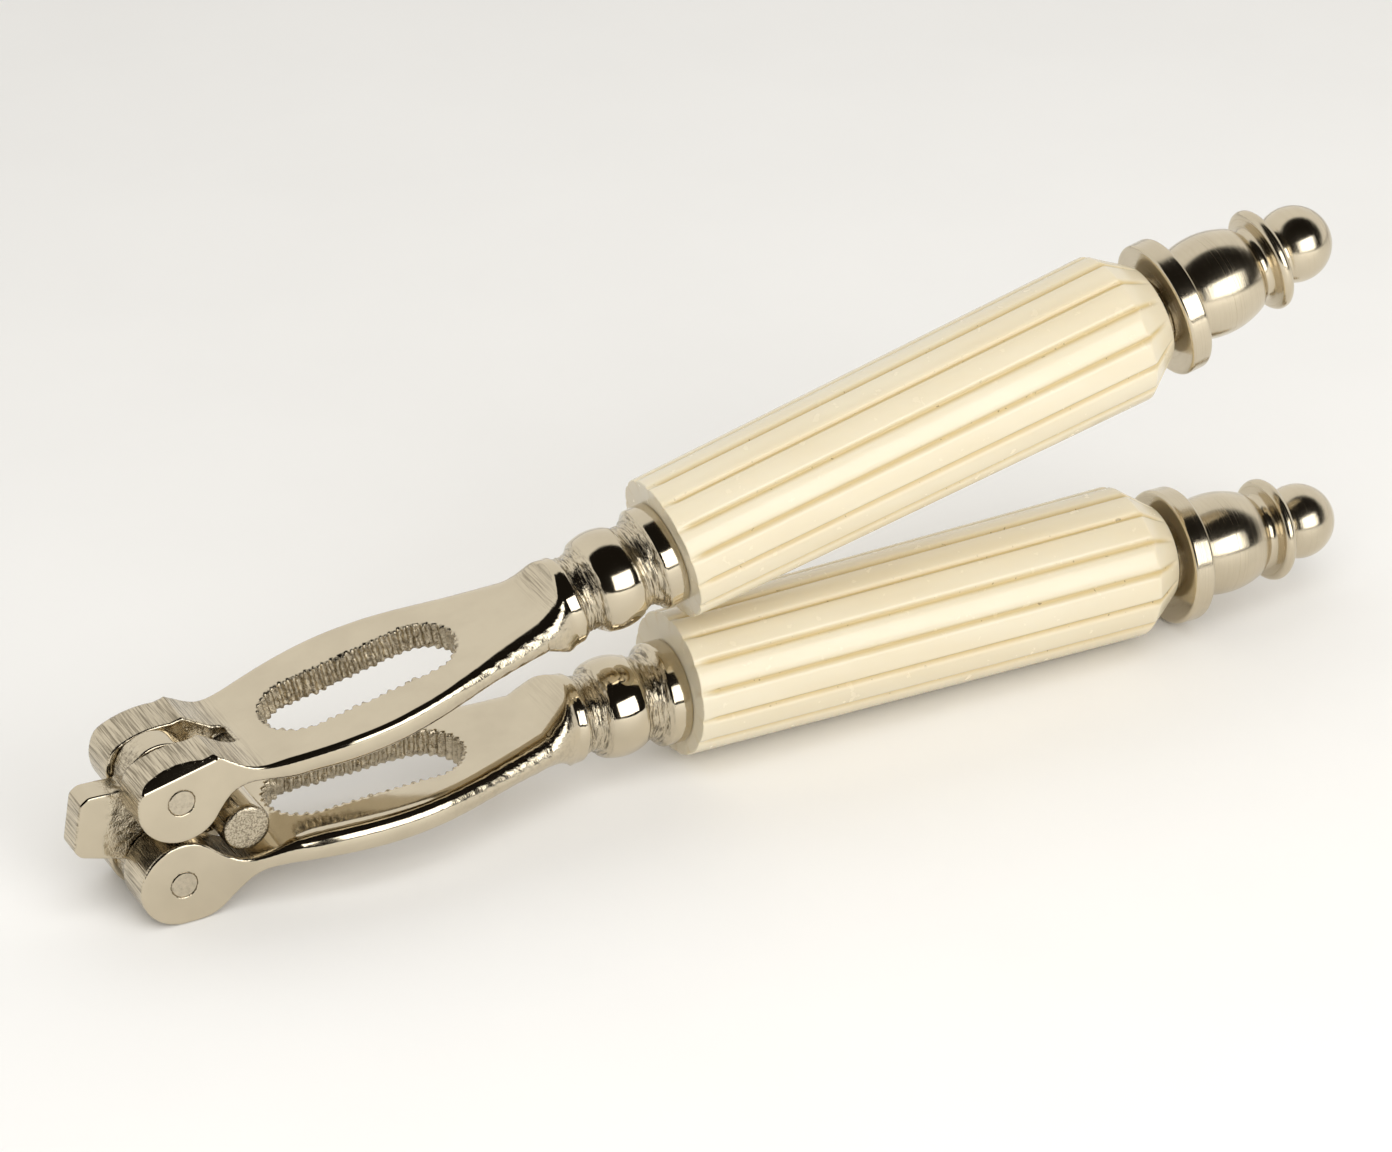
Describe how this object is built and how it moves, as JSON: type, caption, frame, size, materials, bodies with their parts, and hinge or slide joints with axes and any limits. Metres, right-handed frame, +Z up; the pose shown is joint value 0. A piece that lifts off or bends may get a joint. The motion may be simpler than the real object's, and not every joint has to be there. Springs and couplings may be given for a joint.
{
  "type": "nutcracker",
  "caption": "Reversible lever nutcracker: slotted metal jaws hinged on a central link, with fluted cream grips and turned end knobs.",
  "frame": {"origin": "on the resting surface, below the middle of the whole tool's length and width", "axes": "+X from the hinge to the handles along the longest side, +Y along the hinge pins, +Z up; the tool lies closed on its lower arm"},
  "size_m": [0.176, 0.0234, 0.0553],
  "materials": {
    "cast_nickel": "polished nickel plate on a casting, filed and rough in its hollows",
    "turned_nickel": "polished nickel plate on turned metal",
    "pin_steel": "riveted flush and polished over",
    "tang_steel": "plain threaded rod, hidden",
    "grip": "glossy cream resin or bone with darker creases"
  },
  "bodies": {
    "link": {"hinge_link": "cast_nickel"},
    "upper_arm": {"upper_jaw": "cast_nickel", "upper_hinge_pin": "pin_steel", "upper_tang": "tang_steel", "upper_grip": "grip", "upper_grip_nut": "turned_nickel", "upper_end_disc": "turned_nickel", "upper_finial": "turned_nickel"},
    "lower_arm": {"lower_jaw": "cast_nickel", "lower_hinge_pin": "pin_steel", "lower_tang": "tang_steel", "lower_grip": "grip", "lower_grip_nut": "turned_nickel", "lower_end_disc": "turned_nickel", "lower_finial": "turned_nickel"}
  },
  "joints": [
    {"name": "upper_hinge", "type": "hinge", "parent": "link", "child": "upper_arm", "pos_m": [-0.07666, 0, 0.0166], "axis": [0, -1, 0], "range_deg": [0, 162.44]},
    {"name": "lower_hinge", "type": "hinge", "parent": "link", "child": "lower_arm", "pos_m": [-0.07689, 0, 0.0054], "axis": [0, 1, 0], "range_deg": [0, 182.25]}
  ]
}
